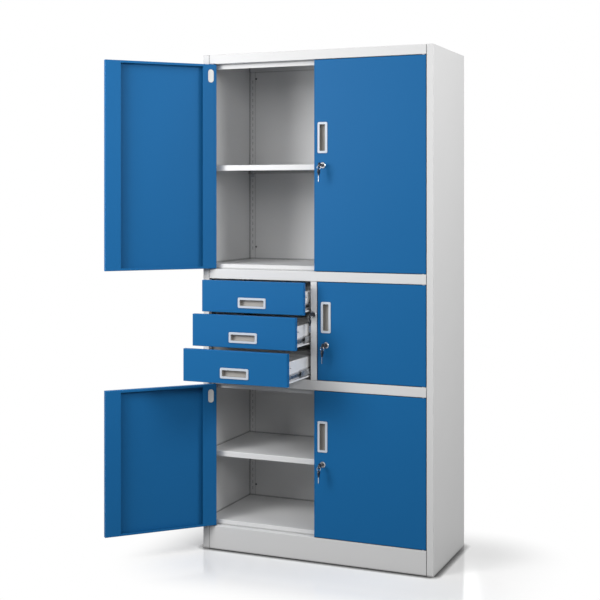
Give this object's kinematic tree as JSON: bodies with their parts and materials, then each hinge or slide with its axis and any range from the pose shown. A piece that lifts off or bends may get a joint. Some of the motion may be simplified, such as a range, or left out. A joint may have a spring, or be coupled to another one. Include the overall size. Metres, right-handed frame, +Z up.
{
  "type": "office storage cabinet with safe",
  "caption": "Tall steel office cabinet: hinged double doors above and below, and between them drawers on telescopic slides beside a lockable safe.",
  "frame": {"origin": "middle of the carcass's footprint, on the floor", "axes": "+Z up, the front with doors and drawers faces -Y, +X to the safe's side"},
  "size_m": [1.1508, 0.7002, 1.85],
  "materials": {
    "carcass_grey": "satin powder coat",
    "door_blue": "satin powder coat",
    "shelf_white": "satin powder coat",
    "drawer_white": "satin powder coat",
    "frame_grey": "satin powder coat",
    "handle_plastic": "moulded satin",
    "white_plastic": "moulded",
    "lock_chrome": "polished",
    "zinc_steel": "zinc plated",
    "key_black": "moulded black head on a nickel blade"
  },
  "bodies": {
    "carcass": {"side_panel_left": "carcass_grey", "side_panel_right": "carcass_grey", "top_panel": "carcass_grey", "back_panel": "carcass_grey", "base_deck": "carcass_grey", "lower_deck": "carcass_grey", "upper_deck": "carcass_grey", "bay_partition": "carcass_grey", "safe_box": "carcass_grey", "drawer_frame": "frame_grey", "upper_shelf": "shelf_white", "lower_shelf": "shelf_white", "shelf_clips": "zinc_steel", "hinge_bushes": "white_plastic", "slide_outer_members": "zinc_steel", "drawer_lock_housing": "lock_chrome"},
    "upper_left_leaf": {"upper_left_door": "door_blue", "upper_left_pivot_bolt": "white_plastic"},
    "upper_right_leaf": {"upper_right_door": "door_blue", "upper_right_pivot_bolt": "white_plastic", "upper_door_handle": "handle_plastic", "upper_lock_housing": "lock_chrome"},
    "lower_left_leaf": {"lower_left_door": "door_blue", "lower_left_pivot_bolt": "white_plastic"},
    "lower_right_leaf": {"lower_right_door": "door_blue", "lower_right_pivot_bolt": "white_plastic", "lower_door_handle": "handle_plastic", "lower_lock_housing": "lock_chrome"},
    "safe_leaf": {"safe_door": "door_blue", "safe_door_back_plate": "door_blue", "safe_door_handle": "handle_plastic", "safe_lock_housing": "lock_chrome"},
    "upper_lock_cam": {"upper_lock_plug": "lock_chrome", "upper_key": "key_black"},
    "upper_spare": {"upper_spare_key": "key_black"},
    "lower_lock_cam": {"lower_lock_plug": "lock_chrome", "lower_key": "key_black"},
    "lower_spare": {"lower_spare_key": "key_black"},
    "safe_lock_cam": {"safe_lock_plug": "lock_chrome", "safe_key": "key_black"},
    "safe_spare": {"safe_spare_key": "key_black"},
    "drawer_lock_crank": {"drawer_lock_plug": "lock_chrome", "drawer_key": "key_black"},
    "drawer_spare": {"drawer_spare_key": "key_black"},
    "drawer_lock_rod": {"drawer_lock_bar": "zinc_steel"},
    "top_drawer": {"top_drawer_front": "door_blue", "top_drawer_handle": "handle_plastic", "top_drawer_box": "drawer_white", "top_slide_inners": "zinc_steel"},
    "top_slides": {"top_slide_middles": "zinc_steel"},
    "middle_drawer": {"middle_drawer_front": "door_blue", "middle_drawer_handle": "handle_plastic", "middle_drawer_box": "drawer_white", "middle_slide_inners": "zinc_steel"},
    "middle_slides": {"middle_slide_middles": "zinc_steel"},
    "bottom_drawer": {"bottom_drawer_front": "door_blue", "bottom_drawer_handle": "handle_plastic", "bottom_drawer_box": "drawer_white", "bottom_slide_inners": "zinc_steel"},
    "bottom_slides": {"bottom_slide_middles": "zinc_steel"}
  },
  "joints": [
    {"name": "upper_left_hinge", "type": "hinge", "parent": "carcass", "child": "upper_left_leaf", "pos_m": [-0.4125, -0.195, 1.0485], "axis": [0, 0, 1], "range_deg": [0, 134]},
    {"name": "upper_right_hinge", "type": "hinge", "parent": "carcass", "child": "upper_right_leaf", "pos_m": [0.4125, -0.195, 1.0485], "axis": [0, 0, 1], "range_deg": [0, 134]},
    {"name": "lower_left_hinge", "type": "hinge", "parent": "carcass", "child": "lower_left_leaf", "pos_m": [-0.4125, -0.195, 0.088], "axis": [0, 0, 1], "range_deg": [0, 134]},
    {"name": "lower_right_hinge", "type": "hinge", "parent": "carcass", "child": "lower_right_leaf", "pos_m": [0.4125, -0.195, 0.088], "axis": [0, 0, 1], "range_deg": [0, 134]},
    {"name": "safe_hinge", "type": "hinge", "parent": "carcass", "child": "safe_leaf", "pos_m": [0.4125, -0.195, 0.6555], "axis": [0, 0, 1], "range_deg": [0, 134]},
    {"name": "upper_lock_turn", "type": "hinge", "parent": "upper_right_leaf", "child": "upper_lock_cam", "pos_m": [0.0345, -0.2, 1.43175], "axis": [0, 1, 0], "range_deg": [0, 90]},
    {"name": "upper_spare_swing", "type": "hinge", "parent": "upper_lock_cam", "child": "upper_spare", "pos_m": [0.0345, -0.2355, 1.42375], "axis": [0, 1, 0], "range_deg": [-90, 90]},
    {"name": "lower_lock_turn", "type": "hinge", "parent": "lower_right_leaf", "child": "lower_lock_cam", "pos_m": [0.0345, -0.2, 0.35375], "axis": [0, 1, 0], "range_deg": [0, 90]},
    {"name": "lower_spare_swing", "type": "hinge", "parent": "lower_lock_cam", "child": "lower_spare", "pos_m": [0.0345, -0.2355, 0.34575], "axis": [0, 1, 0], "range_deg": [-90, 90]},
    {"name": "safe_lock_turn", "type": "hinge", "parent": "safe_leaf", "child": "safe_lock_cam", "pos_m": [0.0475, -0.2, 0.784], "axis": [0, 1, 0], "range_deg": [0, 90]},
    {"name": "safe_spare_swing", "type": "hinge", "parent": "safe_lock_cam", "child": "safe_spare", "pos_m": [0.0475, -0.2355, 0.776], "axis": [0, 1, 0], "range_deg": [-90, 90]},
    {"name": "drawer_lock_turn", "type": "hinge", "parent": "carcass", "child": "drawer_lock_crank", "pos_m": [0, -0.2, 0.89317], "axis": [0, -1, 0], "range_deg": [0, 90]},
    {"name": "drawer_spare_swing", "type": "hinge", "parent": "drawer_lock_crank", "child": "drawer_spare", "pos_m": [0, -0.2355, 0.88517], "axis": [0, 1, 0], "range_deg": [-90, 10]},
    {"name": "drawer_lock_lift", "type": "slide", "parent": "carcass", "child": "drawer_lock_rod", "axis": [0, 0, 1], "range_m": [0, 0.00707]},
    {"name": "top_drawer_slide", "type": "slide", "parent": "carcass", "child": "top_drawer", "axis": [0, -1, 0], "range_m": [-0.061, 0.259]},
    {"name": "top_slide_middle", "type": "slide", "parent": "carcass", "child": "top_slides", "axis": [0, -1, 0], "range_m": [-0.0305, 0.1295]},
    {"name": "middle_drawer_slide", "type": "slide", "parent": "carcass", "child": "middle_drawer", "axis": [0, -1, 0], "range_m": [-0.134, 0.186]},
    {"name": "middle_slide_middle", "type": "slide", "parent": "carcass", "child": "middle_slides", "axis": [0, -1, 0], "range_m": [-0.067, 0.093]},
    {"name": "bottom_drawer_slide", "type": "slide", "parent": "carcass", "child": "bottom_drawer", "axis": [0, -1, 0], "range_m": [-0.203, 0.117]},
    {"name": "bottom_slide_middle", "type": "slide", "parent": "carcass", "child": "bottom_slides", "axis": [0, -1, 0], "range_m": [-0.1015, 0.0585]}
  ],
  "couplings": [
    {"joint": "drawer_lock_turn", "follows": "drawer_lock_lift", "rad_per_m": 222.14},
    {"joint": "top_slide_middle", "follows": "top_drawer_slide", "ratio": 0.5},
    {"joint": "middle_slide_middle", "follows": "middle_drawer_slide", "ratio": 0.5},
    {"joint": "bottom_slide_middle", "follows": "bottom_drawer_slide", "ratio": 0.5}
  ]
}
